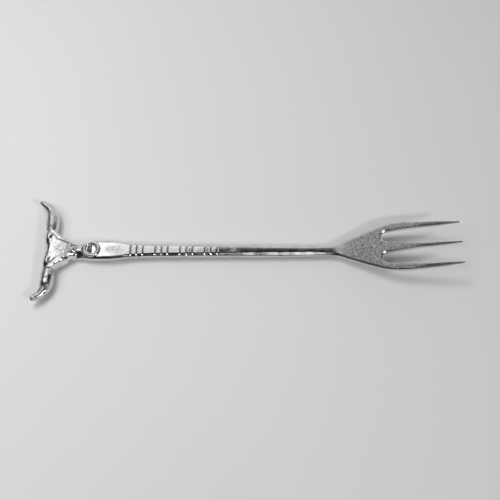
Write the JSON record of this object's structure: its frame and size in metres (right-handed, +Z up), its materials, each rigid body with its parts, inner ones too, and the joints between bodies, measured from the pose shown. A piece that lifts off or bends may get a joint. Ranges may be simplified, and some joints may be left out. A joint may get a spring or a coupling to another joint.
{
  "type": "serving fork",
  "caption": "Long-handled cast metal serving fork with three upswept tines, a grooved grip, a dished rivet and a longhorn skull finial.",
  "frame": {"origin": "middle of the footprint's bounding box, on the surface that the fork lies on", "axes": "+X along the handle towards the tine tips, +Z up out of the face of the fork"},
  "size_m": [0.2796, 0.0732, 0.0192],
  "materials": {
    "sand_cast_alloy": "sand-cast matte face, buffed tines",
    "polished_alloy": "hand polished",
    "skull_alloy": "polished, dark in the hollows",
    "horn_alloy": "polished",
    "rivet_metal": "bright polished"
  },
  "bodies": {
    "root": {"fork_head": "sand_cast_alloy", "handle": "polished_alloy", "skull": "skull_alloy", "horn_left": "horn_alloy", "horn_right": "horn_alloy", "rivet": "rivet_metal", "rivet_bezel": "rivet_metal", "back_burr": "rivet_metal"}
  },
  "joints": []
}
